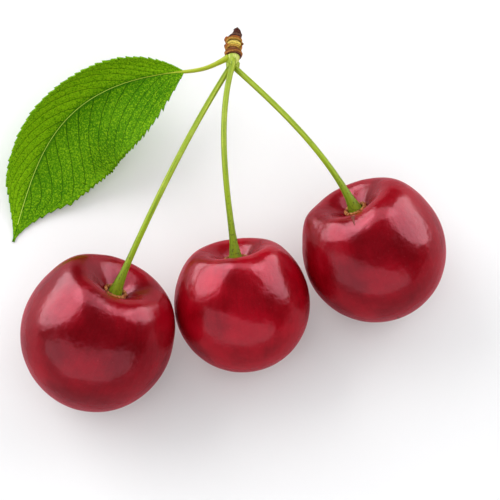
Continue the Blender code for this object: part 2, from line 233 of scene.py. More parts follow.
def pull(piece, spot, move, spread, falloff="SMOOTH"):  # drags the vertex nearest to spot, softly
    shape = bmesh.from_edit_mesh(piece.data)
    nearest = min(shape.verts, key=lambda vert: (vert.co - spot).length)
    for vert in shape.verts:
        vert.select_set(vert == nearest)
    bmesh.update_edit_mesh(piece.data)
    bpy.ops.transform.translate(
        value=move,
        use_proportional_edit=True,
        proportional_edit_falloff=falloff,
        proportional_size=spread,
    )


def pullAll(piece, pulls):
    for spot, *rest in pulls:
        pull(piece, Vector(spot), *rest)


def applyModifier(piece, kind, **settings):
    modifier = piece.modifiers.new(kind.lower(), kind)
    for name, value in settings.items():
        setattr(modifier, name, value)
    bpy.ops.object.mode_set(mode="OBJECT")
    bpy.context.view_layer.objects.active = piece
    bpy.ops.object.modifier_apply(modifier=modifier.name)


def roughen(piece, size, depth):  # a clouds texture pushes the surface in and out
    clouds = bpy.data.textures.new(piece.name + "Clouds", "CLOUDS")
    clouds.noise_scale = size
    clouds.noise_depth = 2
    applyModifier(piece, "DISPLACE", texture=clouds, strength=depth, mid_level=0.5)


def settle(piece, turn, material, node):
    if bpy.context.mode != "OBJECT":
        bpy.ops.object.mode_set(mode="OBJECT")
    bpy.ops.object.select_all(action="DESELECT")
    piece.select_set(True)
    bpy.context.view_layer.objects.active = piece
    piece.data.transform(turn)
    piece.data.materials.clear()
    piece.data.materials.append(material)
    bpy.ops.object.shade_smooth()
    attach(piece, "root")
    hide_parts(node)


def nodePoints(name):
    places = np.array([vert.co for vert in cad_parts[name].data.vertices])
    return np.unique(places.round(7), axis=0)


def turnOf(across, axis, origin):  # a frame whose +Z is axis and whose +X is across
    across, axis = Vector(across).normalized(), Vector(axis).normalized()
    turn = Matrix((across, axis.cross(across), axis)).transposed().to_4x4()
    return Matrix.Translation(Vector(origin)) @ turn


# a fruit is drawn with a half size of 1 and its stalk end at +Z, and then stretched to its size.
# left, middle and right list its dents and swellings: degrees from the stalk end, degrees round,
# height and spread
fruits = {
    "segments": 96,
    "rings": 72,
    "cavityDepth": 0.46,  # of the half height
    "cavitySpread": 0.40,  # radians from the stalk
    "cavityPower": 2.7,
    "shoulder": 0.66,  # radians from the stalk to the highest ring round it
    "shoulderLift": 0.022,
    "blossomDepth": 0.03,  # of the small hollow at the other end
    "blossomSpread": 0.22,
    "unevenness": (0.75, 0.02),  # how wide its swells are, and how deep
    "left": [
        (32, -85, -0.05, 0.42),
        (40, 170, 0.03, 0.5),
        (50, 5, 0.03, 0.5),
        (120, 30, -0.012, 0.9),
    ],
    "middle": [(37, -95, 0.030, 0.40), (34, -35, 0.036, 0.36), (46, 200, 0.02, 0.5)],
    "right": [
        (32, -95, -0.05, 0.42),
        (38, 178, 0.05, 0.45),
        (45, 0, 0.03, 0.55),
        (100, 60, 0.012, 0.9),
    ],
}


def fruitTurn(side):
    ring = nodePoints(f"receptacle_ring_{side}")
    outside = nodePoints(f"cherry_{side}")
    centre = ring.mean(axis=0)
    axis = np.linalg.svd(ring - centre)[2][2]
    if (outside.mean(axis=0) - centre) @ axis > 0:
        axis = -axis
    heights = (outside - centre) @ axis
    spread = outside - centre - np.outer(heights, axis)
    across = np.linalg.svd(spread)[2][0]
    across = across * (1 if across[0] > 0 else -1)
    other = np.cross(axis, across)
    half = (abs(spread @ across).max(), abs(spread @ other).max())
    return turnOf(across, axis, centre), half, heights.min(), heights.max()


def skinReach(polar):  # how far the skin is from the fruit's middle
    fade = (polar / fruits["cavitySpread"]) ** fruits["cavityPower"]
    cavity = fruits["cavityDepth"] * math.exp(-fade)
    fade = ((math.pi - polar) / fruits["blossomSpread"]) ** 2
    blossom = fruits["blossomDepth"] * math.exp(-fade)
    beside = (polar - fruits["shoulder"]) / fruits["shoulder"] * 2
    return 1.0 - cavity - blossom + fruits["shoulderLift"] * math.exp(-(beside**2))


def shapeRings(piece, reachAt):  # scales each ring of a round piece from its middle
    rows = {}
    for vert in edit(piece).verts:
        rows.setdefault(round(vert.co.z, 4), []).append(vert.index)
    for level, members in rows.items():
        reach = reachAt(math.acos(max(-1.0, min(1.0, level))))
        if abs(reach - 1) < 0.001:
            continue
        bpy.ops.mesh.select_all(action="DESELECT")
        shape = bmesh.from_edit_mesh(piece.data)
        shape.verts.ensure_lookup_table()
        for index in members:
            shape.verts[index].select_set(True)
        bmesh.update_edit_mesh(piece.data)
        bpy.ops.transform.resize(value=(reach, reach, reach), center_override=(0, 0, 0))


def addCherry(side, material, turn, half, low, high):
    bpy.ops.mesh.primitive_uv_sphere_add(
        segments=fruits["segments"], ring_count=fruits["rings"], radius=1.0
    )
    cherry = startPiece("cherry" + side.capitalize())
    shapeRings(cherry, skinReach)
    for polar, around, height, spread in fruits[side]:
        polar, around = math.radians(polar), math.radians(around)
        out = Vector(
            (math.sin(polar) * math.cos(around), math.sin(polar) * math.sin(around), math.cos(polar))
        )
        pull(cherry, out * skinReach(polar), out * height, spread)
    applyModifier(cherry, "SUBSURF", levels=1, render_levels=1)
    roughen(cherry, *fruits["unevenness"])
    places = np.array([vert.co for vert in cherry.data.vertices])
    least, most = places.min(axis=0), places.max(axis=0)
    size = most - least
    wide, deep, tall = half[0] * 2 / size[0], half[1] * 2 / size[1], (high - low) / size[2]
    aside = ((most[0] + least[0]) / 2 * wide, (most[1] + least[1]) / 2 * deep)
    stretch = Matrix.Diagonal((wide, deep, tall, 1))
    lift = Matrix.Translation((-aside[0], -aside[1], low - least[2] * tall))
    settle(cherry, turn @ lift @ stretch, material, f"cherry_{side}")


skin = {
    "deep": (0.115, 0.0002, 0.0014, 1),
    "bright": (0.27, 0.0006, 0.006, 1),
    "dots": (0.42, 0.05, 0.06, 1),
    "crack": (0.11, 0.028, 0.005, 1),
    "tint": (1.0, 0.25, 0.37, 1),  # of what it mirrors, because light comes back through the red skin
    "roughness": 0.155,
    "coat": 0.10,
    "streaks": 20.0,  # how fine they are, round the fruit
    "blotches": 0.13,  # how fine, in swells to a millimetre, as for the next four
    "waves": 0.30,
    "peel": 1.3,
    "grain": 6.0,
    "dotGrid": 0.8,  # dots
    "dotShare": 0.14,  # how strongly the dots show
    "relief": 0.06 * mm,
    "glow": {"left": 1.0, "middle": 1.4, "right": 1.1},
}


def cherrySkin(side, turn):
    glow = skin["glow"][side]
    deep, bright = ((c[0] * glow, c[1], c[2] * glow, 1) for c in (skin["deep"], skin["bright"]))
    material, thread, shader = newMaterial(
        "cherrySkin" + side.capitalize(),
        {"IOR": 1.5, "Specular Tint": skin["tint"], "Coat Roughness": 0.08, "Coat IOR": 1.45},
    )
    place = localPlace(thread, turn)
    x, y, z = place.split()
    wide = (x * x + y * y + 0.01) ** 0.5
    fan = thread.add(
        "CombineXYZ", {}, {0: x / wide * skin["streaks"], 1: y / wide * skin["streaks"], 2: z * 0.12}
    )
    streaks = thread.noise(fan, 1.0, 3.0, 0.6)
    blotches = thread.noise(place, skin["blotches"], 3.0)
    waves = thread.noise(place, skin["waves"], 2.0)
    peel = thread.noise(place, skin["peel"], 2.0)
    grain = thread.noise(place, skin["grain"], 1.0)
    shade = (blotches * 0.9 + streaks * 0.16 + grain * 0.22).ease(0.40, 0.88)
    colour = thread.mix(shade, deep, bright)
    cells = thread.add("TexVoronoi", {}, {"Vector": place, "Scale": skin["dotGrid"], "Randomness": 1.0})
    dots = 1 - cells.ease(0.05, 0.12)
    colour = thread.mix(dots * skin["dotShare"], colour, skin["dots"])
    height = waves * 3.2 + peel * 0.7 + grain * 0.07 + streaks * 0.05
    roughness = skin["roughness"] + peel * 0.06 + grain * 0.08
    coat = skin["coat"] + blotches * 0.06
    if side == "right":
        opened = seamCrack(turn, x, y)
        colour = thread.mix(opened, colour, skin["crack"])
        roughness = roughness + opened * 0.3
        coat = coat * (1 - opened)
        height = height - opened * 2.0
    normal = thread.bump(height, skin["relief"])
    feed(thread, shader, colour=colour, roughness=roughness, coat=coat, normal=normal)
    return material


# the small split beside the right fruit's stalk, in millimetres
crack = {
    "from": 5.4,  # where it starts, from the stalk's axis
    "to": 8.0,
    "least": 0.05,  # half its width at the far end
    "half": 0.32,  # what the near end has on top of that
    "lean": -0.22,  # radians round from the side that faces the camera
}


def seamCrack(turn, x, y):
    axis = turn.to_3x3() @ Vector((0, 0, 1))
    facing = (near - axis * near.dot(axis)).normalized()
    facing = turn.to_3x3().inverted() @ (Matrix.Rotation(crack["lean"], 3, axis) @ facing)
    out = x * facing.x + y * facing.y
    aside = abs(y * facing.x - x * facing.y)
    along = (out - crack["from"]) / (crack["to"] - crack["from"])
    edge = (1 - along) * crack["half"] + crack["least"]
    return (edge - aside).ease(-0.04, 0.06) * along.ease(-0.05, 0.05) * (1 - along.ease(0.95, 1.05))


rings = {
    "scallops": 17,  # round its edge
    "waves": 7,
    "ripples": 11,  # up and down
    "frill": 0.22 * mm,  # how far its edge waves out and up
    "grow": 0.06 * mm,
    "unevenness": (0.35 * mm, 0.22 * mm),  # how wide its swells are, and how deep
    "dark": (0.34, 0.085, 0.02, 1),
    "light": (0.52, 0.21, 0.06, 1),
    "pit": (0.10, 0.015, 0.006, 1),
    "tip": (0.62, 0.42, 0.14, 1),
}


def addRing(side, material, turn):
    low, high = nodeReach(f"receptacle_ring_{side}", turn)
    wide = (high[0] - low[0]) / 2
    thick = (high[2] - low[2]) / 2
    bpy.ops.mesh.primitive_torus_add(
        major_radius=wide - thick, minor_radius=thick, major_segments=102, minor_segments=14
    )
    ring = startPiece("receptacle" + side.capitalize())
    for vert in ring.data.vertices:
        around = math.atan2(vert.co.y, vert.co.x)
        reach = vert.co.xy.length
        outer = max(0.0, (reach - wide + thick * 1.2) / thick)
        frill = math.sin(around * rings["scallops"]) + 0.6 * math.sin(around * rings["waves"] + 1.0)
        grow = 1 + (outer * frill * rings["frill"] * 0.5 + rings["grow"]) / wide
        vert.co.x *= grow
        vert.co.y *= grow
        ripple = math.sin(around * rings["ripples"] + 2.0) * 0.5 + 0.2
        vert.co.z += outer * ripple * rings["frill"]
    roughen(ring, *rings["unevenness"])
    settle(ring, turn, material, f"receptacle_ring_{side}")


def nodeReach(name, turn):
    places = nodePoints(name)
    inside = turn.inverted()
    local = np.array([inside @ Vector(place) for place in places])
    return local.min(axis=0), local.max(axis=0)


def ringBrown():
    material, thread, shader = newMaterial("receptacleBrown", {"IOR": 1.4, "Specular IOR Level": 0.15})
    place = localPlace(thread, Matrix.Identity(4))
    coarse = thread.noise(place, 1.4, 2.0)
    fine = thread.noise(place, 4.5, 2.0)
    colour = thread.mix(coarse.ease(0.35, 0.65), rings["dark"], rings["light"])
    colour = thread.mix(fine.ease(0.50, 0.66), colour, rings["pit"])
    colour = thread.mix((1 - fine).ease(0.60, 0.72) * 0.8, colour, rings["tip"])
    roughness = 0.6 + fine * 0.3
    feed(thread, shader, colour=colour, roughness=roughness, normal=thread.bump(fine, 0.10 * mm))
    return material


stalks = {
    "lead": 0.36,  # how far a stalk keeps its first direction, as a share of its reach
    "radius": 0.52 * mm,
    "foot": 1.52 * mm,  # its radius there
    "footFrom": 0.8 * mm,  # the swelling stays full this far
    "footLength": 2.3 * mm,
    "head": 0.62 * mm,  # its radius there
    "headLength": 2.2 * mm,
    "cuts": 18,
    "seat": 0.5 * mm,  # how far it runs on into the fruit
    "neck": 0.4 * mm,  # how much of its head lies along the spur
    "top": 0.9 * mm,  # how far it runs on into the spur
    "left": -0.46,  # how far to the side it leaves the spur for each step along, as the two below
    "middle": -0.2,
    "right": 0.95,
}


def spurTurn():
    core = nodePoints("spur_core")
    centre = core.mean(axis=0)
    axis = np.linalg.svd(core - centre)[2][0]
    if (nodePoints("dry_bud").mean(axis=0) - centre) @ axis < 0:
        axis = -axis
    across = Vector(axis).cross(Vector((0, 0, 1)))
    cushion = nodePoints("stalk_cushion")
    foot = centre + axis * ((cushion - centre) @ axis).min()
    return turnOf(across, axis, foot)


def stalkRadius(along, whole):
    foot = math.exp(-max(0.0, along - stalks["footFrom"]) / stalks["footLength"])
    headward = max(0.0, 1 - (whole - along) / stalks["headLength"]) ** 2
    return (
        stalks["radius"]
        + (stalks["foot"] - stalks["radius"]) * foot
        + (stalks["head"] - stalks["radius"]) * headward
    )


def drawCurve(name, places, handles, cuts):  # places and (before, after) handles of a Bezier curve
    bpy.ops.curve.primitive_bezier_curve_add()
    curve = bpy.context.object
    curve.name = name
    spline = curve.data.splines[0]
    spline.bezier_points.add(len(places) - 2)
    for point, place, (before, after) in zip(spline.bezier_points, places, handles):
        point.handle_left_type = "FREE"
        point.handle_right_type = "FREE"
        point.co = place
        point.handle_left = before
        point.handle_right = after
    bpy.ops.object.mode_set(mode="EDIT")
    bpy.ops.curve.select_all(action="SELECT")
    bpy.ops.curve.subdivide(number_cuts=cuts)
    bpy.ops.object.mode_set(mode="OBJECT")
    return curve


def tubeAlong(curve, radiusAt, sides=8):
    points = curve.data.splines[0].bezier_points
    along = [0.0]
    for first, second in zip(points, points[1:]):
        along.append(along[-1] + (second.co - first.co).length)
    for point, reached in zip(points, along):
        point.radius = radiusAt(reached, along[-1])
    curve.data.bevel_depth = 1.0
    curve.data.bevel_resolution = sides
    curve.data.resolution_u = 4
    curve.data.use_fill_caps = True
    bpy.ops.object.convert(target="MESH")
    piece = bpy.context.object
    edit(piece)
    bpy.ops.mesh.select_all(action="SELECT")
    bpy.ops.mesh.remove_doubles(threshold=0.001 * mm)
    bpy.ops.mesh.normals_make_consistent(inside=False)
    bpy.ops.object.mode_set(mode="OBJECT")
    return piece


def addStalk(side, fruit, spur):
    places = nodePoints(f"stalk_{side}")
    axis = fruit.to_3x3() @ Vector((0, 0, 1))
    footRing = places[np.argsort(places @ np.array(axis))[:8]]
    foot = Vector(footRing.mean(axis=0))
    outward = spur.to_3x3() @ Vector((0, 0, 1))
    headRing = places[np.argsort(places @ np.array(outward))[-8:]]
    head = Vector(headRing.mean(axis=0))
    neck = head - outward * stalks["neck"]
    leave = (spur.to_3x3() @ Vector((stalks[side], 0.0, -1.0))).normalized()
    lead = (neck - foot).length * stalks["lead"]
    seat = foot - axis * stalks["seat"]
    top = head + outward * stalks["top"]
    curve = drawCurve(
        "stalk" + side.capitalize(),
        [seat, neck, top],
        [
            (seat - axis * mm, seat + axis * lead),
            (neck + leave * lead, neck + outward * 0.3 * mm),
            (top - outward * 0.2 * mm, top + outward * 0.2 * mm),
        ],
        stalks["cuts"],
    )
    stalk = tubeAlong(curve, stalkRadius)
    material = stalkGreen("stalkGreen" + side.capitalize(), (head - foot).length / mm)
    settle(stalk, Matrix.Identity(4), material, f"stalk_{side}")


greens = {
    # light and dark are partly painted light and shade: a stalk's lit and shaded sides, scattered round
    # it as streaks
    "light": (0.46, 0.53, 0.045, 1),
    "mid": (0.27, 0.37, 0.008, 1),
    "dark": (0.10, 0.18, 0.003, 1),
    "speck": (0.07, 0.07, 0.008, 1),
    "cushionLight": (0.56, 0.62, 0.13, 1),
    "cushionMid": (0.28, 0.38, 0.015, 1),
    "cushionSpeck": (0.20, 0.30, 0.02, 1),
    "foot": 7.0,  # how far up from a fruit a stalk is darker and speckled, in millimetres
    "ribs": 8.0,  # round it, about
    "blotches": 0.30,  # how fine, in swells to a millimetre, as for the specks
    "specks": 2.6,
}


def stalkGreen(name, length):
    material, thread, shader = newMaterial(name, {"IOR": 1.42, "Specular IOR Level": 0.16})
    place = localPlace(thread, Matrix.Identity(4))
    along, around, _ = thread.add("UVMap", {"uv_map": "UVMap"}, {}).split()
    ribs = thread.add(
        "CombineXYZ", {}, {0: around * greens["ribs"], 1: along * length * 0.07, 2: 0.0}
    )
    streaks = thread.noise(ribs, 1.0, 2.0, 0.6)
    blotches = thread.noise(place, greens["blotches"], 2.0)
    specks = thread.noise(place, greens["specks"], 2.0)
    # partly painted light and shade: the streaks round the stalk are its ribs and also stand in for its
    # lit and shaded sides
    colour = thread.mix(streaks.ease(0.52, 0.70), greens["mid"], greens["light"])
    colour = thread.mix((1 - streaks).ease(0.54, 0.66) * 0.85, colour, greens["dark"])
    colour = thread.mix(blotches.ease(0.5, 0.8) * 0.35, colour, greens["light"])
    colour = thread.mix(specks.ease(0.60, 0.70) * 0.35, colour, greens["dark"])
    foot = 1 - (along * length / greens["foot"]).ease(0.15, 1.0)
    colour = thread.mix(foot * 0.55, colour, greens["dark"])
    colour = thread.mix(foot * specks.ease(0.56, 0.66) * 0.8, colour, greens["speck"])
    roughness = 0.34 + specks * 0.2
    height = streaks * 0.8 + specks * 0.2
    feed(thread, shader, colour=colour, roughness=roughness, normal=thread.bump(height, 0.08 * mm))
    return material


table = {
    "size": 3.0,
    "colour": (0.86, 0.86, 0.86, 1),
    "shade": (0.84, 0.84, 0.84, 1),
    "paintedReflection": (0.66, 0.18, 0.23, 1),  # painted reflection: the pink-red the table shows only to mirror rays, so the skins mirror it red
    "roughness": 0.7,
}


def addTable():
    bpy.ops.mesh.primitive_plane_add(size=table["size"])
    top = startPiece("tableTop")
    material, thread, shader = newMaterial("tablePaint", {"Roughness": table["roughness"]})
    place = localPlace(thread, Matrix.Identity(4))
    tint = thread.noise(place, 0.01, 2.0)
    colour = thread.mix(tint * 0.1, table["colour"], table["shade"])
    # painted reflection: the table turns pink-red only where the fruits mirror it
    paintedReflection = thread.add("LightPath", {}, {}, "Is Glossy Ray")
    colour = thread.mix(paintedReflection, colour, table["paintedReflection"])
    feed(thread, shader, colour=colour)
    top.data.materials.append(material)


# the spur's pieces are drawn in millimetres, standing on the cushion's foot, and then laid down.
# cushion and core are rings of (radius, height)
spurs = {
    "sides": 28,
    "cushion": [(0.3, 0.0), (0.7, 0.15), (0.88, 0.6), (1.05, 1.1), (1.2, 1.6), (1.2, 2.0), (0.8, 2.1)],
    "core": [
        (1.0, 1.95),
        (1.28, 2.15),
        (1.32, 2.55),
        (1.14, 2.75),
        (1.26, 2.95),
        (1.28, 3.15),
        (1.10, 3.27),
        (1.26, 3.45),
        (1.24, 3.75),
        (1.08, 3.9),
        (1.30, 4.2),
        (1.40, 4.6),
        (1.22, 4.92),
        (1.02, 5.0),
        (1.22, 5.3),
        (1.14, 5.7),
        (0.9, 5.95),
        (0.5, 6.1),
    ],
    # each scale: degrees round, its foot, height, half span in degrees, flare
    "lower": [(200, 1.95, 0.95, 80, 0.34), (-35, 1.85, 1.0, 70, 0.42), (85, 1.9, 0.9, 75, 0.3)],
    "middle": [(190, 3.35, 1.15, 50, 0.42), (20, 3.3, 1.5, 42, 0.25), (100, 3.4, 1.0, 70, 0.3)],
    "upper": [(185, 4.95, 1.15, 58, 0.50), (-60, 5.1, 0.72, 70, 0.2), (60, 5.0, 0.8, 70, 0.25)],
    "scaleGrid": (26, 10),
    "scaleRadius": 1.16,
    "scaleClear": 0.12,
    "scaleBulge": 0.10,
    "scaleThickness": 0.15,
    "lipDroop": 0.35,
    "lipWave": 0.07,
    "lipWaves": 11,
    "budRadius": 1.22,
    "budHeight": 0.68,
    "budFoot": 5.45,
    "budAside": 0.08,
    "knob": (1.52, -0.35, 4.65),  # a small bud on the middle scales
    "knobRadius": 0.27,
    "cushionBumps": (150, 270, 30, 185),  # degrees round
    "cushionBumpSpot": (1.0, 0.9),  # out and up
    "cushionBump": 0.16,
    # each pull: its spot, its move and how far it spreads
    "corePulls": [
        ((0.9, -0.9, 4.4), (0.14, -0.10, -0.2), 1.2),
        ((-1.2, 0, 5.3), (-0.12, 0, -0.28), 1.0),
        ((1.2, 0, 5.3), (0.04, 0, 0.22), 1.0),
    ],
    "knobPulls": [((-0.2, 0, 0.1), (-0.25, 0, 0.7), 0.35)],
    "budPulls": [
        ((-0.9, 0, 0.4), (0.05, 0, -0.2), 0.6),
        ((0.30, -0.15, 0.68), (0.34, -0.05, 1.45), 1.05, "ROOT"),
        ((0.50, -0.2, 2.0), (-0.16, 0, 0.40), 0.8, "SPHERE"),
        ((0.1, -0.2, 1.9), (-0.20, 0, 0.05), 0.45),
        ((1.1, -0.2, 0.5), (0.10, -0.05, 0.60), 0.55),
    ],
    # how wide the swells of each are, and how deep
    "cushionUnevenness": (0.9, 0.12),
    "coreUnevenness": (0.5, 0.16),
    "scaleUnevenness": (0.4, 0.14),
    "budUnevenness": (0.42, 0.40),
}


def raiseRings(piece, profile):  # extrudes the selected end up through (radius, height) rings
    edit(piece)
    bpy.ops.mesh.select_all(action="SELECT")
    for (radius, height), (newRadius, newHeight) in zip(profile, profile[1:]):
        bpy.ops.mesh.extrude_region_move(TRANSFORM_OT_translate={"value": (0, 0, newHeight - height)})
        bpy.ops.transform.resize(
            value=(newRadius / radius, newRadius / radius, 1), center_override=(0, 0, newHeight)
        )
    bpy.ops.mesh.select_all(action="SELECT")
    bpy.ops.mesh.normals_make_consistent(inside=False)


def startTurned(name, profile):
    bpy.ops.mesh.primitive_circle_add(
        vertices=spurs["sides"], radius=profile[0][0], fill_type="NGON", location=(0, 0, 0)
    )
    piece = startPiece(name)
    piece.data.transform(Matrix.Translation((0, 0, profile[0][1])))
    raiseRings(piece, profile)
    return piece


def addCushion(material, spur):
    cushion = startTurned("stalkCushion", spurs["cushion"])
    away, height = spurs["cushionBumpSpot"]
    for around in spurs["cushionBumps"]:
        out = Vector((math.cos(math.radians(around)), math.sin(math.radians(around)), 0))
        pull(cushion, out * away + Vector((0, 0, height)), out * spurs["cushionBump"], 0.6)
    applyModifier(cushion, "SUBSURF", levels=2, render_levels=2)
    roughen(cushion, *spurs["cushionUnevenness"])
    settle(cushion, spur @ Matrix.Scale(mm, 4), material, "stalk_cushion")


def addCore(material, spur):
    core = startTurned("spurCore", spurs["core"])
    pullAll(core, spurs["corePulls"])
    applyModifier(core, "SUBSURF", levels=2, render_levels=2)
    roughen(core, *spurs["coreUnevenness"])
    settle(core, spur @ Matrix.Scale(mm, 4), material, "spur_core")


def addScaleBlade(name, around, foot, height, span, flare):
    columns, rows = spurs["scaleGrid"]
    bpy.ops.mesh.primitive_grid_add(x_subdivisions=columns, y_subdivisions=rows, size=2.0)
    blade = startPiece(name)
    for vert in blade.data.vertices:
        across, climb = vert.co.x, (vert.co.y + 1) / 2
        angle = math.radians(around + across * span)
        wave = spurs["lipWave"] * math.sin(across * spurs["lipWaves"] + around) * climb
        lip = 1 - spurs["lipDroop"] * across * across + wave
        away = spurs["scaleRadius"] + spurs["scaleClear"]
        away += flare * (climb**1.5) * (1 - 0.5 * across * across)
        bulge = spurs["scaleBulge"] * math.sin(math.pi * climb)
        vert.co = (
            (away + bulge) * math.cos(angle),
            (away + bulge) * math.sin(angle),
            foot + height * climb * lip - flare * 0.5 * climb**3,
        )
    applyModifier(blade, "SOLIDIFY", thickness=spurs["scaleThickness"], offset=0.0)
    applyModifier(blade, "SUBSURF", levels=1, render_levels=1)
    roughen(blade, *spurs["scaleUnevenness"])
    return blade


def joinAll(pieces):
    bpy.ops.object.select_all(action="DESELECT")
    for piece in pieces:
        piece.select_set(True)
    bpy.context.view_layer.objects.active = pieces[0]
    bpy.ops.object.join()
    return pieces[0]


def addKnob():
    bpy.ops.mesh.primitive_ico_sphere_add(
        subdivisions=3, radius=spurs["knobRadius"], location=(0, 0, 0)
    )
    knob = startPiece("knob")
    edit(knob)
    pullAll(knob, spurs["knobPulls"])
    bpy.ops.object.mode_set(mode="OBJECT")
    knob.data.transform(Matrix.Translation(spurs["knob"]))
    return knob


def addScales(place, material, spur):
    blades = [addScaleBlade(f"{place}Scales", *values) for values in spurs[place]]
    if place == "middle":
        blades.append(addKnob())
    scales = joinAll(blades)
    settle(scales, spur @ Matrix.Scale(mm, 4), material, f"bud_scale_{place}")


def addBud(material, spur):
    bpy.ops.mesh.primitive_uv_sphere_add(segments=32, ring_count=20, radius=1.0)
    bud = startPiece("dryBud")
    radius, height = spurs["budRadius"], spurs["budHeight"]
    bud.data.transform(Matrix.Diagonal((radius, radius, height, 1)))
    edit(bud)
    pullAll(bud, spurs["budPulls"])
    applyModifier(bud, "SUBSURF", levels=1, render_levels=1)
    roughen(bud, *spurs["budUnevenness"])
    bud.data.transform(Matrix.Translation((spurs["budAside"], 0, spurs["budFoot"] + height)))
    settle(bud, spur @ Matrix.Scale(mm, 4), material, "dry_bud")


# colours up the spur: height in millimetres and linear colour
woods = {
    "spurWood": [
        (1.9, (0.20, 0.06, 0.01)),
        (2.2, (0.30, 0.12, 0.02)),
        (2.55, (0.08, 0.008, 0.005)),
        (2.8, (0.10, 0.012, 0.006)),
        (3.0, (0.34, 0.12, 0.025)),
        (3.25, (0.10, 0.018, 0.005)),
        (3.5, (0.56, 0.34, 0.04)),
        (3.8, (0.34, 0.09, 0.01)),
        (4.0, (0.74, 0.54, 0.07)),
        (4.75, (0.84, 0.68, 0.14)),
        (4.95, (0.12, 0.03, 0.004)),
        (5.15, (0.56, 0.38, 0.06)),
        (5.45, (0.46, 0.20, 0.025)),
        (5.8, (0.16, 0.04, 0.01)),
    ],
    "budScale": [
        (1.9, (0.06, 0.012, 0.006)),
        (2.3, (0.46, 0.18, 0.03)),
        (2.8, (0.11, 0.014, 0.006)),
        (3.3, (0.54, 0.32, 0.05)),
        (3.9, (0.52, 0.16, 0.015)),
        (4.3, (0.12, 0.02, 0.005)),
        (5.1, (0.50, 0.28, 0.04)),
        (5.6, (0.38, 0.09, 0.012)),
        (6.0, (0.10, 0.015, 0.01)),
    ],
    "dryBud": [
        (5.4, (0.05, 0.012, 0.006)),
        (6.0, (0.022, 0.004, 0.003)),
        (6.5, (0.12, 0.055, 0.035)),
        (6.9, (0.018, 0.003, 0.002)),
        (7.3, (0.045, 0.003, 0.003)),
        (8.2, (0.014, 0.001, 0.001)),
    ],
}


bark = {
    "from": 1.5,  # the heights that the colours are spread over, in millimetres
    "to": 8.5,
    "lines": 2.4,  # rings to a millimetre
    "line": (0.10, 0.02, 0.005, 1),
    "pit": (0.09, 0.02, 0.006, 1),
    "fleck": (0.55, 0.36, 0.16, 1),
}


def woodPaint(name, spur):
    material, thread, shader = newMaterial(name, {"IOR": 1.45, "Specular IOR Level": 0.08})
    place = localPlace(thread, spur)
    z = place.split()[2]
    coarse = thread.noise(place, 0.8, 2.0)
    fine = thread.noise(place, 5.0, 3.0)
    low, high = bark["from"], bark["to"]
    stops = [((height - low) / (high - low), (*colour, 1)) for height, colour in woods[name]]
    level = (z + (coarse - 0.5) * 0.7 - low) / (high - low)
    band = thread.add("ValToRGB", {"stops": stops}, {0: level})
    step = (z + (coarse - 0.5) * 0.9) * bark["lines"]
    line = (abs(step.maths("FRACT", step) - 0.5) * 2).ease(0.55, 0.9)
    colour = thread.mix(line * 0.5, band, bark["line"])
    colour = thread.mix(fine.ease(0.48, 0.68) * 0.5, colour, bark["pit"])
    colour = thread.mix((1 - fine).ease(0.58, 0.72) * 0.3, colour, bark["fleck"])
    roughness = 0.45 + fine * 0.3
    height = fine - line * 0.6
    feed(thread, shader, colour=colour, roughness=roughness, normal=thread.bump(height, 0.12 * mm))
    return material


def cushionGreen(spur):
    material, thread, shader = newMaterial("cushionGreen", {"IOR": 1.42, "Specular IOR Level": 0.16})
    place = localPlace(thread, spur)
    drawn = thread.add("VectorMath", {"operation": "MULTIPLY"}, {0: place, 1: (1.6, 1.6, 0.35)})
    streaks = thread.noise(drawn, 1.2, 3.0)
    specks = thread.noise(place, 3.0, 2.0)
    colour = thread.mix(streaks.ease(0.40, 0.62), greens["cushionMid"], greens["cushionLight"])
    colour = thread.mix(specks.ease(0.58, 0.70) * 0.4, colour, greens["cushionSpeck"])
    roughness = 0.36 + specks * 0.2
    feed(thread, shader, colour=colour, roughness=roughness, normal=thread.bump(streaks, 0.10 * mm))
    return material


leaf = {
    # the curve of its midrib, in millimetres from the cushion's foot
    "base": (-9.0, 1.5, -7.2),
    "baseHandle": (-34.3, 1.4, -12.6),
    "tipHandle": (-37.0, -12.2, -18.6),
    "tip": (-40.9, -27.8, -18.6),
    "midribPoints": 121,
    "lift": 0.3 * mm,  # how far the blade lies above that curve
    "length": 50 * mm,
    "outer": 7.7 * mm,  # the widest of each half
    "inner": 13.7 * mm,
    "curlBase": 78.0,  # degrees that the outer half stands up
    "curlTip": 45.0,
    "rest": 7.0,  # degrees that the inner half does
    "widest": 0.5,  # how far along it is widest, as a share
    "riseOuter": 2.3,  # how full each half is before that
    "riseInner": 3.6,
    "fall": 2.0,  # and after it
    "drawnOut": 0.8,  # where its tip begins to be drawn out, and how much
    "drawnIn": 3.5,
    "steepest": 2.5,  # of its edge, against the midrib
    "teeth": 38,
    "rowsPerTooth": 8,
    "columns": 56,
    "toothDepth": 0.75 * mm,
    "toothLean": 0.55 * mm,
    "toothShift": 0.4,  # of the inner half's teeth, as a share of one
    "outerTooth": 0.6,  # how big the outer half's teeth are beside the inner's
    "veins": 14.0,
    "veinBend": 0.32,
    "quilt": 0.13 * mm,  # how high it swells between the veins
    "thickness": 0.26 * mm,
}


def bezierLine(points, count):
    share = np.linspace(0, 1, 400)[:, None]
    start, startHandle, endHandle, end = (np.array(point) for point in points)
    fine = start * (1 - share) ** 3 + startHandle * 3 * share * (1 - share) ** 2
    fine = fine + endHandle * 3 * share**2 * (1 - share) + end * share**3
    steps = np.linalg.norm(np.diff(fine, axis=0), axis=1)
    lengths = np.concatenate([[0], np.cumsum(steps)])
    at = np.linspace(0, lengths[-1], count)
    return np.column_stack([np.interp(at, lengths, fine[:, k]) for k in range(3)])


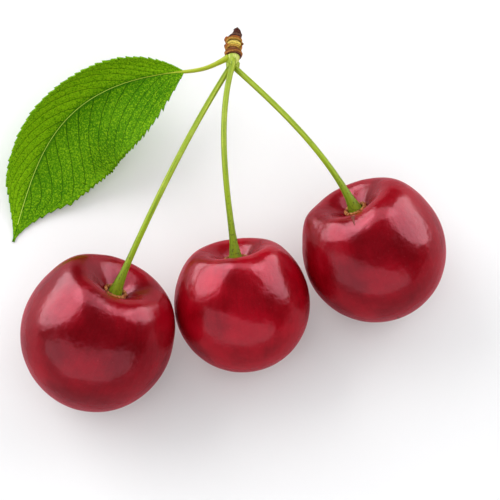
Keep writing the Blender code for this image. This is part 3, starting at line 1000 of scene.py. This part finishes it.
def bladeShare(t, rise):  # a half's width as a share of its widest
    widest = leaf["widest"]
    if t < widest:
        share = 1.0 - ((widest - t) / widest) ** rise
    else:
        share = 1.0 - ((t - widest) / (1 - widest)) ** leaf["fall"]
        share *= 1.0 - leaf["drawnIn"] * max(0.0, t - leaf["drawnOut"])
    return max(share, 0.02)


def bladeSlope(t, rise, widest):  # how fast a half grows wider there
    grown = bladeShare(min(t + 0.01, 1), rise) - bladeShare(max(t - 0.01, 0), rise)
    slope = grown / 0.02 * widest / leaf["length"]
    return max(-leaf["steepest"], min(leaf["steepest"], slope))


def bladeTooth(t, s, small):  # how far the edge stands out there, in teeth
    phase = (t * leaf["teeth"] + (leaf["toothShift"] if s > 0 else 0.0)) % 1.0
    tooth = (phase**1.3 - 0.45) * abs(s) ** 12 * small * (0.8 + 0.3 * math.sin(t * 71 + s))
    return tooth * (1.0 if s > 0 else leaf["outerTooth"])


def bladeAngle(t, s):  # how steeply a half stands up there
    curl = leaf["curlBase"] * (1 - t) + leaf["curlTip"] * t
    opening = math.sin(math.pi * (0.15 + 0.75 * t))
    return math.radians((leaf["rest"] if s > 0 else curl) * opening * (0.7 + 0.3 * abs(s)))


def bladeQuilt(t, s, small):  # how far it swells between the side veins
    a = abs(s)
    vein = (t - leaf["veinBend"] * a**1.15) * leaf["veins"]
    ridge = abs(vein % 1.0 - 0.5) * 2
    bulge = (1 - ridge**2.4) * min(1.0, a * 5) * (1 - a**2) * small
    wave = math.sin(t * 19 + (1.5 if s > 0 else 0.0)) * a * a * 0.5
    return leaf["quilt"] * (bulge - 0.5 + wave) * min(1.0, a * 6)


def midribAt(midrib, t):  # its place there, and the way it runs
    last = len(midrib) - 1
    at = min(int(t * last), last - 1)
    share = t * last - at
    place = Vector(midrib[at]) * (1 - share) + Vector(midrib[at + 1]) * share
    return place, Vector(midrib[min(at + 2, last)] - midrib[max(at - 1, 0)]).normalized()


def bladePlace(midrib, t, s):  # t runs from base to tip, s from the outer edge to the inner
    place, ahead = midribAt(midrib, t)
    level = Vector((ahead.x, ahead.y, 0)).normalized()
    side = Vector((-level.y, level.x, 0)) * (1 if s > 0 else -1)
    rise, widest = leaf["riseOuter"], leaf["outer"]
    if s > 0:
        rise, widest = leaf["riseInner"], leaf["inner"]
    full = bladeShare(t, rise)
    small = min(1.0, full * 2.5)
    slope = bladeSlope(t, rise, widest)
    margin = (ahead + side * slope).normalized()
    outward = (side - ahead * slope).normalized()
    tooth = bladeTooth(t, s, small)
    angle = bladeAngle(t, s)
    normal = Vector((0, 0, 1)) * math.cos(angle) - side * math.sin(angle)
    out = widest * full * abs(s)
    place = place + side * (out * math.cos(angle)) + Vector((0, 0, out * math.sin(angle)))
    place = place + outward * (tooth * leaf["toothDepth"]) + margin * (tooth * leaf["toothLean"])
    return place + Vector((0, 0, leaf["lift"])) + normal * bladeQuilt(t, s, small)


def addBlade(material, midrib):
    rows = leaf["teeth"] * leaf["rowsPerTooth"]
    bpy.ops.mesh.primitive_grid_add(
        x_subdivisions=rows, y_subdivisions=leaf["columns"], size=1.0, calc_uvs=True
    )
    blade = startPiece("leafBlade")
    for vert in blade.data.vertices:
        vert.co = bladePlace(midrib, vert.co.x + 0.5, vert.co.y * 2)
    applyModifier(blade, "SOLIDIFY", thickness=leaf["thickness"], offset=0.0)
    settle(blade, Matrix.Identity(4), material, "leaf")


petiole = {
    "start": (0.55 * mm, -0.3 * mm),  # in from the cushion's side, and across it
    "startHeight": 0.85,  # as a share of the cushion's
    "leave": (-0.9, 0.4, -0.35),  # the way it leaves the cushion
    "baseLift": 0.2 * mm,
    "radius": 0.48 * mm,
    "swell": 0.16 * mm,  # thicker at its start
    "swellLength": 1.6 * mm,
    "end": 0.36 * mm,  # its radius at the blade
    "rib": 0.17 * mm,  # and along it, as the midrib
    "tip": 0.07 * mm,
    "ribFade": 14,  # how soon its radius falls from the one to the other
    "ribStep": 8,  # midrib points to each point of its curve
    "proud": 0.04 * mm,  # how far the midrib stands out of the blade
    "light": (0.56, 0.60, 0.05, 1),
    "mid": (0.36, 0.44, 0.015, 1),
    "speck": (0.30, 0.40, 0.02, 1),
    "pale": (0.62, 0.84, 0.10, 1),
}


def ribRadius(share):  # how thick the midrib is at a share of its length
    fast = math.exp(-share * petiole["ribFade"])
    slow = petiole["rib"] * (1 - share) + petiole["tip"] * share
    return slow + (petiole["end"] - petiole["rib"]) * fast


def addLeafStalk(midrib, spur):
    low, high = nodeReach("stalk_cushion", spur)
    inset, across = petiole["start"]
    start = spur @ Vector((low[0] + inset, across, high[2] * petiole["startHeight"]))
    leave = (spur.to_3x3() @ Vector(petiole["leave"])).normalized()
    base = Vector(midrib[0]) + Vector((0, 0, petiole["baseLift"]))
    inward = Vector(midrib[0] - midrib[3]).normalized()
    whole = (base - start).length
    lead = whole * stalks["lead"]
    last, step = len(midrib) - 1, petiole["ribStep"]
    places = [start, base]
    handles = [(start - leave * mm, start + leave * lead), (base + inward * lead, base - inward * mm)]
    for index in range(step, last - 2, step):
        share = index / last
        lift = leaf["lift"] + leaf["thickness"] / 2 + petiole["proud"] - ribRadius(share)
        place = Vector(midrib[index]) + Vector((0, 0, lift))
        run = Vector(midrib[index + 2] - midrib[index - 2]) / 4 * step / 3
        places.append(place)
        handles.append((place - run, place + run))
    curve = drawCurve("leafStalk", places, handles, 6)

    def radiusAt(along, total):
        if along >= whole:
            return ribRadius((along - whole) / (total - whole))
        swell = math.exp(-((along / petiole["swellLength"]) ** 2)) * petiole["swell"]
        return petiole["radius"] + (petiole["end"] - petiole["radius"]) * along / whole + swell

    piece = tubeAlong(curve, radiusAt, 5)
    settle(piece, Matrix.Identity(4), petioleYellow(), "leaf")


def petioleYellow():
    material, thread, shader = newMaterial("petioleYellow", {"IOR": 1.42, "Specular IOR Level": 0.16})
    place = localPlace(thread, Matrix.Identity(4))
    along, around, _ = thread.add("UVMap", {"uv_map": "UVMap"}, {}).split()
    specks = thread.noise(place, 2.4, 2.0)
    side = thread.noise(thread.add("CombineXYZ", {}, {0: around * 4.0, 1: 0.3, 2: 0.0}), 1.0, 1.0)
    colour = thread.mix(side.ease(0.42, 0.60), petiole["mid"], petiole["light"])
    colour = thread.mix(specks.ease(0.52, 0.68) * 0.5, colour, petiole["speck"])
    colour = thread.mix(along.ease(0.18, 0.45) * 0.9, colour, petiole["pale"])
    roughness = 0.4 + specks * 0.2
    feed(thread, shader, colour=colour, roughness=roughness, normal=thread.bump(specks, 0.05 * mm))
    return material


leafPaint = {
    "mottle": 3.3,  # how fine, in swells to a millimetre, as for the three below
    "broad": 0.13,
    "wander": 0.5,
    "net": 1.3,
    "deep": (0.065, 0.235, 0.001, 1),
    "fresh": (0.11, 0.31, 0.002, 1),
    # painted light: the standing outer half is painted lighter, for its sheen and the light shining
    # through it
    "outer": (0.23, 0.52, 0.004, 1),
    "margin": (0.18, 0.44, 0.008, 1),
    "light": (0.30, 0.52, 0.008, 1),
    "dark": (0.03, 0.12, 0.001, 1),
    "mesh": (0.045, 0.17, 0.003, 1),
    "vein": (0.016, 0.08, 0.001, 1),
    "grooveShade": (0.03, 0.15, 0.003, 1),  # painted shade in the crease on each side of the midrib
}


def leafGreen():
    material, thread, shader = newMaterial("leafGreen", {"IOR": 1.35, "Specular IOR Level": 0.03})
    place = localPlace(thread, Matrix.Identity(4))
    t, v, _ = thread.add("UVMap", {"uv_map": "UVMap"}, {}).split()
    s = abs(v * 2 - 1)
    mottle = thread.noise(place, leafPaint["mottle"], 3.0, 0.7)
    broad = thread.noise(place, leafPaint["broad"], 2.0)
    wander = thread.noise(place, leafPaint["wander"], 1.0)
    vein = (t - s**1.15 * leaf["veinBend"] + (wander - 0.5) * 0.012) * leaf["veins"]
    gap = abs(vein.maths("FRACT", vein) - 0.5) * 2
    lateral = gap.ease(0.87, 0.97) * (1 - s.ease(0.8, 1.0))
    beads = mottle.ease(0.35, 0.60)
    beside = 1 - s.ease(0.02, 0.07)
    net = thread.add(
        "TexVoronoi", {"feature": "DISTANCE_TO_EDGE"}, {"Vector": place, "Scale": leafPaint["net"]}
    )
    mesh = 1 - net.ease(0.02, 0.14)
    colour = thread.mix(broad.ease(0.3, 0.7), leafPaint["deep"], leafPaint["fresh"])
    # painted light: the outer half is made lighter, for sheen and light shining through it
    outer = (0.5 - v).ease(0.0, 0.12)
    colour = thread.mix(outer * 0.85, colour, leafPaint["outer"])
    colour = thread.mix(s.ease(0.72, 1.0) * 0.45, colour, leafPaint["margin"])
    colour = thread.mix(mottle.ease(0.50, 0.62) * 0.7, colour, leafPaint["light"])
    colour = thread.mix((1 - mottle).ease(0.50, 0.62) * 0.7, colour, leafPaint["dark"])
    colour = thread.mix(mesh * 0.22, colour, leafPaint["mesh"])
    colour = thread.mix(lateral * (beads * 0.5 + 0.4), colour, leafPaint["vein"])
    # painted shade along the crease beside the midrib
    colour = thread.mix(beside * 0.7, colour, leafPaint["grooveShade"])
    roughness = 0.55 + mottle * 0.15
    height = mottle * 0.4 - mesh * 0.3 - lateral * 0.4
    feed(thread, shader, colour=colour, roughness=roughness, normal=thread.bump(height, 0.12 * mm))
    return material


addCamera()
addLamps()
addTable()
print("camera, lamps and table are in place")

fruitPlaces = {}
for side in ("left", "middle", "right"):
    turn, half, low, high = fruitTurn(side)
    fruitPlaces[side] = turn
    addCherry(side, cherrySkin(side, turn), turn, half, low, high)
print("cherries are in place")

spur = spurTurn()
brown = ringBrown()
for side, fruit in fruitPlaces.items():
    addRing(side, brown, fruit)
    addStalk(side, fruit, spur)
print("stalks and rings are in place")

addCushion(cushionGreen(spur), spur)
addCore(woodPaint("spurWood", spur), spur)
scalePaint = woodPaint("budScale", spur)
for place in ("lower", "middle", "upper"):
    addScales(place, scalePaint, spur)
addBud(woodPaint("dryBud", spur), spur)
print("spur is in place")

foot = spur.to_translation()
points = [foot + Vector(leaf[name]) * mm for name in ("base", "baseHandle", "tipHandle", "tip")]
midrib = bezierLine(points, leaf["midribPoints"])
addBlade(leafGreen(), midrib)
addLeafStalk(midrib, spur)
print("leaf is in place")
